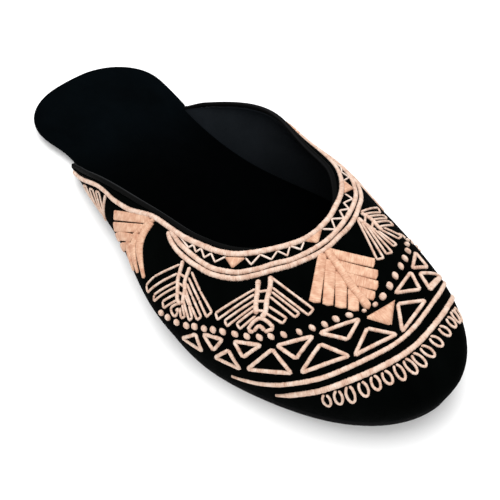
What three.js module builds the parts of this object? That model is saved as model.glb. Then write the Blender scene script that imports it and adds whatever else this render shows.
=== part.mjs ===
// Velvet mule slipper, right foot, in millimetres: an open heel, a closed toe and a low flat sole.
// The last's own axes: x runs from the heel (0) to the toe, y to the medial side, z up from the floor.
import * as THREE from 'three';

// ---- driving dimensions ----
const soleLength = 256;
const soleThickness = 3.2;
const seatGap = 0.3;
const insoleThickness = 2.9;
const insoleEdgeRound = 1.2;
const wallThickness = 2.6;

// How far the rubber edge stands inside the sole outline: more under the open heel than under the upper,
// and more again along the waist on the lateral side
const heelInset = 1.6;
const foreInset = 0.5;
const insetChangeFrom = 55;
const insetChangeTo = 105;
const waistTuck = 2;
const waistStation = 50;
const waistReach = 26;
const insoleInsetInUpper = wallThickness + 0.6;
const bindingRadius = 1.2;

// Rounded ends of the sole outline
const heelRoundLength = 34;
const heelRoundPower = 2.4;
const toeRoundStart = 183.6;
const toeRoundPower = 2.1;
const toeTipOffset = 9;

// Underside: heel pad and forefoot pad lie on the floor, the arch and the toe are clear of it
const archStart = 76;
const archEnd = 126;
const archRelief = 1.6;
const toeSpring = 5.8;

// Where the upper's rear corners meet the insole
const cornerStation = 64;
const insoleStepLength = 7;

// ---- mesh fineness ----
const ribCount = 97;
const ribSteps = 12;
const bindingSteps = 84;
const bindingSides = 8;
const sideStations = 34;
const endStations = 12;

// Half widths of the sole outline either side of the last's axis, a row for each station from the heel
const outlineRows = [
  { station: 0, lateral: 33.5, medial: 31 },
  { station: 30, lateral: 34.5, medial: 34 },
  { station: 62, lateral: 32.5, medial: 32 },
  { station: 95, lateral: 35, medial: 31 },
  { station: 125, lateral: 38, medial: 34.5 },
  { station: 155, lateral: 44, medial: 43 },
  { station: 185, lateral: 44.4, medial: 48 },
  { station: 215, lateral: 38.5, medial: 45.8 },
  { station: 255, lateral: 34, medial: 45.5 },
];

// Ribs of the upper from its rear corner to the toe, each one run up from the sole edge to the topline.
// foot = the rib's station on the sole edge; top, latY, latZ, medY, medZ = its place on the topline.
const toplineRows = [
  { foot: 64, top: 64, latY: -33, latZ: 6.6, medY: 32.4, medZ: 6.6 },
  { foot: 80, top: 80, latY: -34, latZ: 14, medY: 38, medZ: 14.5 },
  { foot: 97, top: 97, latY: -34, latZ: 23, medY: 42.5, medZ: 22.5 },
  { foot: 115, top: 112, latY: -32, latZ: 27, medY: 45.5, medZ: 27.5 },
  { foot: 133, top: 127, latY: -30, latZ: 30, medY: 45, medZ: 31 },
  { foot: 151, top: 142, latY: -27, latZ: 31.5, medY: 42, medZ: 32.5 },
  { foot: 168, top: 156, latY: -25, latZ: 33.5, medY: 39.5, medZ: 33.5 },
  { foot: 186, top: 168, latY: -22, latZ: 35.5, medY: 37, medZ: 35 },
  { foot: 204, top: 177, latY: -17.5, latZ: 36.5, medY: 31.5, medZ: 36 },
  { foot: 220, top: 183, latY: -12, latZ: 37.3, medY: 25.3, medZ: 37 },
  { foot: 235, top: 187, latY: -5.5, latZ: 37.7, medY: 18.6, medZ: 37.3 },
  { foot: 247, top: 189, latY: 0.2, latZ: 37.5, medY: 12.3, medZ: 37 },
  { foot: 256, top: 189.4, latY: 6.2, latZ: 36.7, medY: 6.2, medZ: 36.7 },
];

// The same ribs between those ends. Swell = how far the wall leans out over the sole edge on that side;
// full = how upright it stays, as a part of its rise; lay = its slope at the topline in degrees;
// reach = how far that slope carries towards the sole, as a part of its size.
const wallRows = [
  { latSwell: 1, medSwell: 1, latFull: 0.5, medFull: 0.5, latLay: 90, medLay: 90, reach: 0.4 },
  { latSwell: 3.5, medSwell: 3, latFull: 0.5, medFull: 0.5, latLay: 88, medLay: 88, reach: 0.4 },
  { latSwell: 4.5, medSwell: 5, latFull: 0.5, medFull: 0.5, latLay: 83, medLay: 83, reach: 0.4 },
  { latSwell: 5.5, medSwell: 6, latFull: 0.5, medFull: 0.5, latLay: 77, medLay: 77, reach: 0.4 },
  { latSwell: 6.5, medSwell: 6, latFull: 0.6, medFull: 0.58, latLay: 67, medLay: 67, reach: 0.4 },
  { latSwell: 7.5, medSwell: 5.6, latFull: 0.65, medFull: 0.6, latLay: 53, medLay: 54, reach: 0.45 },
  { latSwell: 7.5, medSwell: 4.8, latFull: 0.7, medFull: 0.57, latLay: 38, medLay: 40, reach: 0.5 },
  { latSwell: 5.5, medSwell: 2.7, latFull: 0.71, medFull: 0.5, latLay: 30, medLay: 35.5, reach: 0.49 },
  { latSwell: 5.5, medSwell: 3.5, latFull: 0.73, medFull: 0.6, latLay: 24, medLay: 28, reach: 0.49 },
  { latSwell: 6, medSwell: 4.8, latFull: 0.82, medFull: 0.73, latLay: 19.5, medLay: 22, reach: 0.5 },
  { latSwell: 6.7, medSwell: 6.2, latFull: 0.92, medFull: 0.83, latLay: 17, medLay: 18.5, reach: 0.51 },
  { latSwell: 7.3, medSwell: 6.8, latFull: 0.96, medFull: 0.88, latLay: 17.5, medLay: 18.5, reach: 0.52 },
  { latSwell: 7.3, medSwell: 7.3, latFull: 0.93, medFull: 0.93, latLay: 20, medLay: 20, reach: 0.53 },
];

// ---- curves ----
// Natural cubic spline through values at the given places
function spline(places, values) {
  const last = places.length - 1;
  const bend = new Array(last + 1).fill(0);
  const carry = new Array(last + 1).fill(0);
  for (let i = 1; i < last; i += 1) {
    const before = places[i] - places[i - 1];
    const after = places[i + 1] - places[i];
    const share = before / (before + after);
    const pivot = share * bend[i - 1] + 2;
    const turn = (values[i + 1] - values[i]) / after - (values[i] - values[i - 1]) / before;
    bend[i] = (share - 1) / pivot;
    carry[i] = ((6 * turn) / (before + after) - share * carry[i - 1]) / pivot;
  }
  const second = new Array(last + 1).fill(0);
  for (let i = last - 1; i > 0; i -= 1) {
    second[i] = bend[i] * second[i + 1] + carry[i];
  }
  return (place) => {
    let i = 0;
    while (i < last - 1 && place > places[i + 1]) {
      i += 1;
    }
    const span = places[i + 1] - places[i];
    const a = (places[i + 1] - place) / span;
    const b = (place - places[i]) / span;
    const curve = ((a ** 3 - a) * second[i] + (b ** 3 - b) * second[i + 1]) * span ** 2 / 6;
    return a * values[i] + b * values[i + 1] + curve;
  };
}

const stations = outlineRows.map((row) => row.station);
const lateralWidth = spline(stations, outlineRows.map((row) => row.lateral));
const medialWidth = spline(stations, outlineRows.map((row) => row.medial));

function roundEnd(part, power) {
  const held = THREE.MathUtils.clamp(part, 0, 1);
  return (1 - held ** power) ** (1 / power);
}

// Sideways place of the sole edge at a station: side is -1 for lateral, +1 for medial
function edgeY(station, side) {
  const heelRound = roundEnd((heelRoundLength - station) / heelRoundLength, heelRoundPower);
  const toePart = (station - toeRoundStart) / (soleLength - toeRoundStart);
  const toeRound = roundEnd(toePart, toeRoundPower);
  const middle = toeTipOffset * THREE.MathUtils.smoothstep(toePart, 0, 1);
  const width = side < 0 ? lateralWidth(station) : medialWidth(station);
  return middle + (side * width - middle) * heelRound * toeRound;
}

// Height of the sole's upper side above its level at the heel
function springAt(station) {
  const part = THREE.MathUtils.clamp((station - toeRoundStart) / (soleLength - toeRoundStart), 0, 1.1);
  return toeSpring * part ** 2;
}

function archAt(station) {
  const part = THREE.MathUtils.clamp((station - archStart) / (archEnd - archStart), 0, 1);
  return archRelief * Math.sin(Math.PI * part) ** 2;
}

// ---- sole edge as a closed loop: heel, lateral side, toe, medial side ----
function sideStationList() {
  const list = [];
  for (let i = 0; i < endStations; i += 1) {
    list.push(heelRoundLength * (1 - Math.cos((Math.PI / 2) * (i / endStations))));
  }
  for (let i = 0; i < sideStations; i += 1) {
    list.push(THREE.MathUtils.lerp(heelRoundLength, toeRoundStart, i / sideStations));
  }
  for (let i = 0; i <= endStations; i += 1) {
    list.push(THREE.MathUtils.lerp(toeRoundStart, soleLength, Math.sin((Math.PI / 2) * (i / endStations))));
  }
  return list;
}

function soleEdge() {
  const list = sideStationList();
  const lateral = list.map((station) => new THREE.Vector2(station, edgeY(station, -1)));
  const medial = list.slice(1, -1).map((station) => new THREE.Vector2(station, edgeY(station, 1)));
  return [...lateral, ...medial.reverse()];
}

// The loop moved inwards by an amount that may change from place to place
function insetLoop(loop, amountAt) {
  return loop.map((point, i) => {
    const before = loop[(i + loop.length - 1) % loop.length];
    const after = loop[(i + 1) % loop.length];
    const along = after.clone().sub(before).normalize();
    const amount = amountAt(point.x, point.y);
    return new THREE.Vector2(point.x - along.y * amount, point.y + along.x * amount);
  });
}

// ---- solids ----
function bodyFrom(points, triangles) {
  const geometry = new THREE.BufferGeometry();
  const places = points.flatMap((point) => [point.x, point.y, point.z]);
  geometry.setAttribute('position', new THREE.Float32BufferAttribute(places, 3));
  geometry.setIndex(triangles);
  geometry.computeVertexNormals();
  return geometry;
}

function skinRows(rows, closed, triangles) {
  const count = rows[0].length;
  const columns = closed ? count : count - 1;
  for (let r = 0; r < rows.length - 1; r += 1) {
    for (let c = 0; c < columns; c += 1) {
      const a = r * count + c;
      const b = r * count + ((c + 1) % count);
      triangles.push(a, b, b + count, a, b + count, a + count);
    }
  }
}

// A slab from stacked loops of one outline, closed below and above by strips from side to side
function slab(loops) {
  const count = loops[0].length;
  const triangles = [];
  skinRows(loops, true, triangles);
  const half = count / 2;
  const topStart = (loops.length - 1) * count;
  for (let i = 0; i < half; i += 1) {
    const a = i;
    const b = i + 1;
    const c = (count - i - 1) % count;
    const d = (count - i) % count;
    if (b !== c) {
      triangles.push(a, c, b);
      triangles.push(topStart + a, topStart + b, topStart + c);
    }
    if (a !== d) {
      triangles.push(a, d, c);
      triangles.push(topStart + a, topStart + c, topStart + d);
    }
  }
  return bodyFrom(loops.flat(), triangles);
}

function raise(loop, heightAt) {
  return loop.map((point) => new THREE.Vector3(point.x, point.y, heightAt(point.x)));
}

function outsoleInset(station, across) {
  const part = THREE.MathUtils.smoothstep(station, insetChangeFrom, insetChangeTo);
  const waist = Math.max(0, 1 - ((station - waistStation) / waistReach) ** 2);
  const tuck = across < 0 ? waistTuck * waist * waist : 0;
  return THREE.MathUtils.lerp(heelInset, foreInset, part) + tuck;
}

function outsoleGeometry() {
  const outline = insetLoop(soleEdge(), outsoleInset);
  const underEdge = insetLoop(soleEdge(), (station, across) => outsoleInset(station, across) + 0.5);
  return slab([
    raise(underEdge, (x) => springAt(x) + archAt(x)),
    raise(outline, (x) => springAt(x) + archAt(x) + 0.5),
    raise(outline, (x) => springAt(x) + soleThickness),
  ]);
}

function insoleInset(station) {
  const part = THREE.MathUtils.smoothstep(station, cornerStation - insoleStepLength - 1, cornerStation - 1);
  return insoleInsetInUpper * part;
}

function insoleGeometry() {
  const base = soleThickness + seatGap;
  const edge = soleEdge();
  const round = insoleEdgeRound;
  const levels = [
    { inset: 0.8, height: 0 },
    { inset: 0, height: 0.8 },
    { inset: 0, height: insoleThickness - round },
    { inset: round * 0.3, height: insoleThickness - round * 0.3 },
    { inset: round, height: insoleThickness },
  ];
  return slab(levels.map((level) => raise(
    insetLoop(edge, (x) => insoleInset(x) + level.inset),
    (x) => springAt(x) + base + level.height,
  )));
}

// ---- upper ----
const lastRow = toplineRows.length - 1;
const rowSpan = 2 * lastRow;
const rowPlaces = Array.from({ length: rowSpan + 1 }, (_, i) => i);

// A column of a rib table run from the lateral corner round the toe to the medial corner
function roundTheToe(table, lateralColumn, medialColumn) {
  const values = rowPlaces.map((i) => {
    const row = table[lastRow - Math.abs(i - lastRow)];
    return i <= lastRow ? row[lateralColumn] : row[medialColumn];
  });
  return spline(rowPlaces, values);
}

const upperColumns = {
  foot: roundTheToe(toplineRows, 'foot', 'foot'),
  topX: roundTheToe(toplineRows, 'top', 'top'),
  topY: roundTheToe(toplineRows, 'latY', 'medY'),
  topZ: roundTheToe(toplineRows, 'latZ', 'medZ'),
  swell: roundTheToe(wallRows, 'latSwell', 'medSwell'),
  full: roundTheToe(wallRows, 'latFull', 'medFull'),
  lay: roundTheToe(wallRows, 'latLay', 'medLay'),
  reach: roundTheToe(wallRows, 'reach', 'reach'),
};

function footPoint(place) {
  const station = Math.min(upperColumns.foot(place), soleLength);
  const y = edgeY(station, place < lastRow ? -1 : 1);
  return new THREE.Vector3(station, y, springAt(station) + soleThickness + seatGap);
}

// Plan direction that points out of the shoe at a place on the sole edge
function outwards(place) {
  const step = 0.05;
  const along = footPoint(Math.min(place + step, rowSpan)).sub(footPoint(Math.max(place - step, 0)));
  return new THREE.Vector3(along.y, -along.x, 0).normalize();
}

const nearlyUprightRun = 6;
const leaningRun = 26;

function rib(place) {
  const foot = footPoint(place);
  const out = outwards(place);
  const { topX, topY, topZ } = upperColumns;
  const top = new THREE.Vector3(topX(place), topY(place), topZ(place));
  const rise = top.z - foot.z;
  const lower = foot.clone().addScaledVector(out, upperColumns.swell(place));
  lower.z += rise * upperColumns.full(place);
  const down = foot.clone().sub(top).setZ(0);
  const run = down.length();
  const lean = THREE.MathUtils.clamp((run - nearlyUprightRun) / (leaningRun - nearlyUprightRun), 0, 1);
  const away = out.clone().lerp(down.divideScalar(Math.max(run, 0.001)), lean).normalize();
  const lay = THREE.MathUtils.degToRad(upperColumns.lay(place));
  const reach = Math.max(run, rise) * upperColumns.reach(place);
  const upperHandle = top.clone().addScaledVector(away, Math.cos(lay) * reach);
  upperHandle.z -= Math.sin(lay) * reach;
  return new THREE.CubicBezierCurve3(foot, lower, upperHandle, top);
}

// The wall stops short of the topline by the room the binding takes
function wallEnd(curve) {
  return 1 - (bindingRadius + seatGap) / (3 * curve.v3.distanceTo(curve.v2));
}

function outerPoint(place, part) {
  const curve = rib(place);
  return curve.getPoint(part * wallEnd(curve));
}

function alongTheSide(place, part) {
  const step = 0.04;
  const ahead = outerPoint(Math.min(place + step, rowSpan), part);
  return ahead.sub(outerPoint(Math.max(place - step, 0), part)).normalize();
}

function outwardNormal(place, part) {
  const curve = rib(place);
  const alongRib = curve.getTangent(Math.max(part, 0.001) * wallEnd(curve));
  return alongTheSide(place, part).cross(alongRib).normalize();
}

function innerPoint(place, part) {
  if (part === 0) {
    return footPoint(place).addScaledVector(outwards(place), -wallThickness);
  }
  return outerPoint(place, part).addScaledVector(outwardNormal(place, part), -wallThickness);
}

// Each section loop runs down the outside and up the inside
function upperGeometry() {
  const sections = [];
  for (let i = 0; i < ribCount; i += 1) {
    const place = (rowSpan * i) / (ribCount - 1);
    const loop = [];
    for (let j = ribSteps; j >= 0; j -= 1) {
      loop.push(outerPoint(place, j / ribSteps));
    }
    for (let j = 0; j <= ribSteps; j += 1) {
      loop.push(innerPoint(place, j / ribSteps));
    }
    sections.push(loop);
  }
  const triangles = [];
  skinRows(sections, true, triangles);
  const count = sections[0].length;
  const end = (sections.length - 1) * count;
  for (let j = 0; j < ribSteps; j += 1) {
    const a = j;
    const b = j + 1;
    const c = count - 2 - j;
    const d = count - 1 - j;
    triangles.push(a, c, b, a, d, c);
    triangles.push(end + a, end + b, end + c, end + a, end + c, end + d);
  }
  return bodyFrom(sections.flat(), triangles);
}

// ---- binding: a round piping seated on the edge of the topline ----
function bindingGeometry() {
  const points = [];
  for (let i = 0; i <= bindingSteps; i += 1) {
    const place = (rowSpan * i) / bindingSteps;
    const edge = outerPoint(place, 1).add(innerPoint(place, 1)).multiplyScalar(0.5);
    const offTheEdge = outwardNormal(place, 1).cross(alongTheSide(place, 1));
    points.push(edge.addScaledVector(offTheEdge, bindingRadius + seatGap));
  }
  const path = new THREE.CatmullRomCurve3(points, false, 'centripetal');
  const corners = [];
  for (let k = 0; k < bindingSides; k += 1) {
    const turn = (2 * Math.PI * (k + 0.5)) / bindingSides;
    corners.push(new THREE.Vector2(Math.cos(turn), Math.sin(turn)).multiplyScalar(bindingRadius));
  }
  const settings = { steps: bindingSteps, extrudePath: path, bevelEnabled: false };
  return new THREE.ExtrudeGeometry(new THREE.Shape(corners), settings);
}

// ---- assembly ----
const looks = {
  outsole: { color: 0x111111, roughness: 0.85, metalness: 0 },
  insole: { color: 0x12161c, roughness: 0.95, metalness: 0 },
  upper: { color: 0x0c0c10, roughness: 0.95, metalness: 0 },
  binding: { color: 0x2a2e33, roughness: 0.45, metalness: 0 },
};

function piece(name, geometry) {
  const mesh = new THREE.Mesh(geometry, new THREE.MeshStandardMaterial(looks[name]));
  mesh.name = name;
  return mesh;
}

const slipper = new THREE.Group();
slipper.add(piece('outsole', outsoleGeometry()));
slipper.add(piece('insole', insoleGeometry()));
slipper.add(piece('upper', upperGeometry()));
slipper.add(piece('binding', bindingGeometry()));

// The part's origin is the middle of its footprint, on the floor
const extent = new THREE.Box3().setFromObject(slipper, true);
const middle = extent.getCenter(new THREE.Vector3());
slipper.position.set(-middle.x, -middle.y, -extent.min.z);

export default slipper;
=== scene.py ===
import math

import bmesh
import bpy
import numpy as np
from mathutils import Matrix


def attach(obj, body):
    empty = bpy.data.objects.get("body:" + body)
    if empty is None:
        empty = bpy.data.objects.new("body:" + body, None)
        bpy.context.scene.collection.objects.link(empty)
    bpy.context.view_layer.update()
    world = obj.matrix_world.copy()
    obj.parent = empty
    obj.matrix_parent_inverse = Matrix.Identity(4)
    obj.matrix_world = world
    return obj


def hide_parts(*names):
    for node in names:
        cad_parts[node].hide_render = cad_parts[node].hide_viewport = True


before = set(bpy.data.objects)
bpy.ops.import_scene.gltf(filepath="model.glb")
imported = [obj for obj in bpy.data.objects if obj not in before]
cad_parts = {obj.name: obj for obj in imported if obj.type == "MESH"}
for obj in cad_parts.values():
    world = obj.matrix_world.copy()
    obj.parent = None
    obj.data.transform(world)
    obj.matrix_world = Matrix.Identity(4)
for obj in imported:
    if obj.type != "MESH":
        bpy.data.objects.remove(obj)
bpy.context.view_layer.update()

# Velvet mule slipper, right foot. Lengths are in millimetres on the last's own axes, x from the heel to the toe,
# y to the medial side and z up from the floor, and become metres in the frame when a mesh is made.
mm = 0.001
lastOrigin = np.array([128.43, 1.05, 0.0])  # the middle of the footprint, on the floor
scene = bpy.context.scene
print("frame loaded")

# the last: the same outline, topline and ribs as the solid parts
last = {
    "length": 256,
    "heelRound": 34.0,
    "heelPower": 2.4,
    "toeStart": 183.6,
    "toePower": 2.1,
    "toeOffset": 9,
    "toeSpring": 5.8,
    "archStart": 76.0,
    "archEnd": 126.0,
    "archRelief": 1.6,
    "wallFoot": 3.5,  # the upper stands this high over the floor at the heel
    "leanFrom": 6.0,  # where the topline lies further in than this, the wall leaves it straight down the slope
    "leanOver": 20.0,
    # station, lateral and medial half width of the sole edge
    "outline": [
        (0, 33.5, 31), (30, 34.5, 34), (62, 32.5, 32), (95, 35, 31), (125, 38, 34.5),
        (155, 44, 43), (185, 44.4, 48), (215, 38.5, 45.8), (255, 34, 45.5),
    ],
    # each rib's station on the sole edge and on the topline, then the topline's lateral y, z and medial y, z
    "topline": [
        (64, 64, -33, 6.6, 32.4, 6.6), (80, 80, -34, 14, 38, 14.5), (97, 97, -34, 23, 42.5, 22.5),
        (115, 112, -32, 27, 45.5, 27.5), (133, 127, -30, 30, 45, 31), (151, 142, -27, 31.5, 42, 32.5),
        (168, 156, -25, 33.5, 39.5, 33.5), (186, 168, -22, 35.5, 37, 35), (204, 177, -17.5, 36.5, 31.5, 36),
        (220, 183, -12, 37.3, 25.3, 37), (235, 187, -5.5, 37.7, 18.6, 37.3), (247, 189, 0.2, 37.5, 12.3, 37),
        (256, 189.4, 6.2, 36.7, 6.2, 36.7),
    ],
    # lateral and medial swell, then uprightness, then slope at the topline in degrees; reach of that slope
    "wall": [
        (1, 1, 0.5, 0.5, 90, 90, 0.4), (3.5, 3, 0.5, 0.5, 88, 88, 0.4), (4.5, 5, 0.5, 0.5, 83, 83, 0.4),
        (5.5, 6, 0.5, 0.5, 77, 77, 0.4), (6.5, 6, 0.6, 0.58, 67, 67, 0.4), (7.5, 5.6, 0.65, 0.6, 53, 54, 0.45),
        (7.5, 4.8, 0.7, 0.57, 38, 40, 0.5), (5.5, 2.7, 0.71, 0.5, 30, 35.5, 0.49),
        (5.5, 3.5, 0.73, 0.6, 24, 28, 0.49), (6, 4.8, 0.82, 0.73, 19.5, 22, 0.5),
        (6.7, 6.2, 0.92, 0.83, 17, 18.5, 0.51), (7.3, 6.8, 0.96, 0.88, 17.5, 18.5, 0.52),
        (7.3, 7.3, 0.93, 0.93, 20, 20, 0.53),
    ],
}
toeRib, endRib = 12, 24  # ribs count from 0 at the lateral rear corner, round the toe, to the medial rear corner


def splineThrough(places, values):
    # natural cubic spline, of single values or of rows of them
    places = np.asarray(places, float)
    values = np.asarray(values, float)
    gap = np.diff(places)
    system = np.eye(len(places))
    right = np.zeros_like(values)
    for i in range(1, len(places) - 1):
        system[i, i - 1:i + 2] = gap[i - 1], 2 * (gap[i - 1] + gap[i]), gap[i]
        right[i] = 6 * ((values[i + 1] - values[i]) / gap[i] - (values[i] - values[i - 1]) / gap[i - 1])
    bend = np.linalg.solve(system, right)

    def at(place):
        place = np.asarray(place, float)
        i = np.clip(np.searchsorted(places, place, side="right") - 1, 0, len(places) - 2)
        span = gap[i]
        a = (places[i + 1] - place) / span
        if values.ndim == 2:
            span, a = span[..., None], a[..., None]
        b = 1 - a
        return a * values[i] + b * values[i + 1] + ((a**3 - a) * bend[i] + (b**3 - b) * bend[i + 1]) * span**2 / 6

    return at


def unit(rows):
    return rows / np.maximum(np.linalg.norm(rows, axis=-1, keepdims=True), 1e-9)


def smoothStep(part):
    part = np.clip(part, 0, 1)
    return part * part * (3 - 2 * part)


outlineRows = np.array(last["outline"], float)
lateralWidth = splineThrough(outlineRows[:, 0], outlineRows[:, 1])
medialWidth = splineThrough(outlineRows[:, 0], outlineRows[:, 2])


def roundEnd(part, power):
    return (1 - np.clip(part, 0, 1) ** power) ** (1 / power)


def toeShare(station):
    return (station - last["toeStart"]) / (last["length"] - last["toeStart"])


def soleEdgeY(station, side):
    # sideways place of the sole edge, side -1 for lateral and 1 for medial
    toe = toeShare(station)
    middle = last["toeOffset"] * smoothStep(toe)
    width = np.where(side < 0, lateralWidth(station), medialWidth(station))
    heel = roundEnd((last["heelRound"] - station) / last["heelRound"], last["heelPower"])
    return middle + (side * width - middle) * heel * roundEnd(toe, last["toePower"])


def springAt(station):
    # the curve goes on a little past the toe
    return last["toeSpring"] * np.clip(toeShare(station), 0, 1.1) ** 2


def roundTheToe(table, lateralColumn, medialColumn):
    # one column of a rib table as a curve over all the ribs
    values = [table[toeRib - abs(rib - toeRib)][lateralColumn if rib <= toeRib else medialColumn]
              for rib in range(endRib + 1)]
    return splineThrough(range(endRib + 1), values)


ribFootStation = roundTheToe(last["topline"], 0, 0)
ribTopX = roundTheToe(last["topline"], 1, 1)
ribTopY = roundTheToe(last["topline"], 2, 4)
ribTopZ = roundTheToe(last["topline"], 3, 5)
ribSwell = roundTheToe(last["wall"], 0, 1)
ribFull = roundTheToe(last["wall"], 2, 3)
ribLay = roundTheToe(last["wall"], 4, 5)
ribReach = roundTheToe(last["wall"], 6, 6)

# how far to each side the places are that give a direction, and how far they keep from the ends
nearby = {"rib": 0.04, "up": 0.01, "ribMargin": 0.05, "upMargin": 0.012, "chartRib": 0.01, "chartUp": 0.004}


def ribFoot(rib):
    station = np.minimum(ribFootStation(rib), last["length"])
    side = np.where(rib < toeRib, -1, 1)
    return np.stack([station, soleEdgeY(station, side), springAt(station) + last["wallFoot"]], -1)


def ribOut(rib):
    reach = nearby["ribMargin"]
    step = ribFoot(np.minimum(rib + reach, endRib)) - ribFoot(np.maximum(rib - reach, 0))
    return unit(np.stack([step[..., 1], -step[..., 0], 0 * step[..., 0]], -1))


def ribCurve(rib):
    # the four control points of each rib, from the sole edge to the topline
    foot, out = ribFoot(rib), ribOut(rib)
    top = np.stack([ribTopX(rib), ribTopY(rib), ribTopZ(rib)], -1)
    rise = top[..., 2] - foot[..., 2]
    lower = foot + out * ribSwell(rib)[..., None]
    lower[..., 2] += rise * ribFull(rib)
    down = foot - top
    down[..., 2] = 0
    run = np.linalg.norm(down, axis=-1)
    lean = np.clip((run - last["leanFrom"]) / last["leanOver"], 0, 1)[..., None]
    away = unit(out * (1 - lean) + unit(down) * lean)
    lay = np.radians(ribLay(rib))
    reach = np.maximum(run, rise) * ribReach(rib)
    upper = top + away * (np.cos(lay) * reach)[..., None]
    upper[..., 2] -= np.sin(lay) * reach
    return foot, lower, upper, top


def wallPoint(rib, up):
    # a place on the upper's outside: rib from 0 to 24, up from 0 at the sole edge to 1 at the topline
    rib, up = np.broadcast_arrays(np.asarray(rib, float), np.asarray(up, float))
    foot, lower, upper, top = ribCurve(rib)
    b = up[..., None]
    a = 1 - b
    return a**3 * foot + 3 * a * a * b * lower + 3 * a * b * b * upper + b**3 * top


def wallFrame(rib, up):
    # the place with its direction round the shoe, its direction up the rib and its outward normal
    rib, up = np.broadcast_arrays(np.asarray(rib, float), np.asarray(up, float))
    ribStep, upStep, ribMargin, upMargin = (nearby[part] for part in ("rib", "up", "ribMargin", "upMargin"))
    nearRib, nearUp = np.clip(rib, ribMargin, endRib - ribMargin), np.clip(up, upMargin, 1 - upMargin)
    along = unit(wallPoint(nearRib + ribStep, nearUp) - wallPoint(nearRib - ribStep, nearUp))
    rise = unit(wallPoint(nearRib, nearUp + upStep) - wallPoint(nearRib, nearUp - upStep))
    return wallPoint(rib, up), along, rise, unit(np.cross(along, rise))


def shortOfTopline(rib, room):
    # the up place that lies so many millimetres below the topline
    upper, top = ribCurve(np.asarray(rib, float))[2:]
    return 1 - room / (3 * np.linalg.norm(top - upper, axis=-1))


def runAlong(spots):
    # the length of a line of places up to each of them
    return np.concatenate([[0], np.cumsum(np.linalg.norm(np.diff(spots, axis=0), axis=1))])


def toFrame(points):
    return (np.asarray(points, float) - lastOrigin) * mm


def newPiece(name, points, faces, finish, uv=None, standsFor=()):
    mesh = bpy.data.meshes.new(name)
    mesh.from_pydata(toFrame(points).tolist(), [], faces)
    if uv is not None:
        corner = np.empty(len(mesh.loops), dtype=np.int32)
        mesh.loops.foreach_get("vertex_index", corner)
        layer = mesh.uv_layers.new(name="stitchMap")
        layer.data.foreach_set("uv", np.asarray(uv, float)[corner].ravel())
    work = bmesh.new()
    work.from_mesh(mesh)
    bmesh.ops.recalc_face_normals(work, faces=work.faces)
    work.to_mesh(mesh)
    work.free()
    mesh.polygons.foreach_set("use_smooth", [True] * len(mesh.polygons))
    mesh.materials.append(finish)
    made = bpy.data.objects.new(name, mesh)
    scene.collection.objects.link(made)
    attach(made, "root")
    if standsFor:
        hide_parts(*standsFor)
    print(name, "made with", len(mesh.polygons), "faces")
    return made


def ringFaces(rows, count):
    # quads between rings of so many points, one ring after the other
    faces = []
    for row in range(rows - 1):
        for k in range(count):
            a, b = row * count + k, row * count + (k + 1) % count
            faces.append((a, b, b + count, a + count))
    return faces


def endFaces(rows, count):
    return [tuple(range(count))[::-1], tuple(range((rows - 1) * count, rows * count))]


capRings = ((0.92, 0.38), (0.75, 0.7), (0.45, 0.95))  # the size of each ring of an end, and its share of the way out


def skinSections(sections, roundOut):
    # closed sections in a row, skinned and closed at both ends, which are drawn in a little so that they look round
    rows = list(sections)
    for first, second in ((0, 1), (-1, -2)):
        middle = sections[first].mean(0)
        out = unit(middle - sections[second].mean(0))
        caps = [middle + (sections[first] - middle) * size + out * roundOut * far for size, far in capRings]
        rows = caps[::-1] + rows if first == 0 else rows + caps
    count = sections.shape[1]
    return np.concatenate(rows), ringFaces(len(rows), count) + endFaces(len(rows), count)


def newFinish(name, look, colour, sheenTint=None):
    # what is the same all over the surface goes straight on the shader
    finish = bpy.data.materials.new(name)
    finish.use_nodes = True
    sockets = finish.node_tree.nodes["Principled BSDF"].inputs
    sockets["Base Color"].default_value = (*colour, 1)
    sockets["Roughness"].default_value = look["rough"]
    sockets["Specular IOR Level"].default_value = look["shine"]
    if sheenTint:
        sockets["Sheen Weight"].default_value = look["sheen"]
        sockets["Sheen Roughness"].default_value = look["sheenRough"]
        sockets["Sheen Tint"].default_value = (*sheenTint, 1)
    return finish


def dress(finish, **varied):
    # what varies over the surface is joined to the shader
    names = {"colour": "Base Color", "rough": "Roughness", "bump": "Normal"}
    for part, source in varied.items():
        finish.node_tree.links.new(source, finish.node_tree.nodes["Principled BSDF"].inputs[names[part]])
    return finish


def addNode(tree, kind, inputs=(), operation=None):
    # each input is either a value or another node's output
    node = tree.nodes.new("ShaderNode" + kind)
    if operation:
        node.operation = operation
    for socket, value in dict(inputs).items():
        if isinstance(value, bpy.types.NodeSocket):
            tree.links.new(value, node.inputs[socket])
        else:
            node.inputs[socket].default_value = value
    return node


def noiseAt(tree, scale, detail=3.0, where="Object", stretch=(1, 1, 1), rough=0.5):
    place = addNode(tree, "TexCoord").outputs[where]
    place = addNode(tree, "Mapping", {"Vector": place, "Scale": stretch}).outputs["Vector"]
    inputs = {"Vector": place, "Scale": scale, "Detail": detail, "Roughness": rough}
    return addNode(tree, "TexNoise", inputs).outputs["Fac"]


def rampOf(tree, source, stops):
    ramp = addNode(tree, "ValToRGB", {"Fac": source})
    for i, (place, colour) in enumerate(stops):
        stop = ramp.color_ramp.elements[i] if i < 2 else ramp.color_ramp.elements.new(place)
        stop.position = place
        stop.color = (*colour, 1)
    return ramp.outputs["Color"]


def bumpFrom(tree, height, strength, depth, below=None):
    inputs = {"Height": height, "Strength": strength, "Distance": depth}
    if below is not None:
        inputs["Normal"] = below
    return addNode(tree, "Bump", inputs).outputs["Normal"]


def mapTo(tree, source, low, high, start=0.25, end=0.75, curve="LINEAR"):
    # noise lies mostly between a quarter and three quarters
    inputs = {"Value": source, "From Min": start, "From Max": end, "To Min": low, "To Max": high}
    span = addNode(tree, "MapRange", inputs)
    span.interpolation_type = curve
    return span.outputs["Result"]


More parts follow.
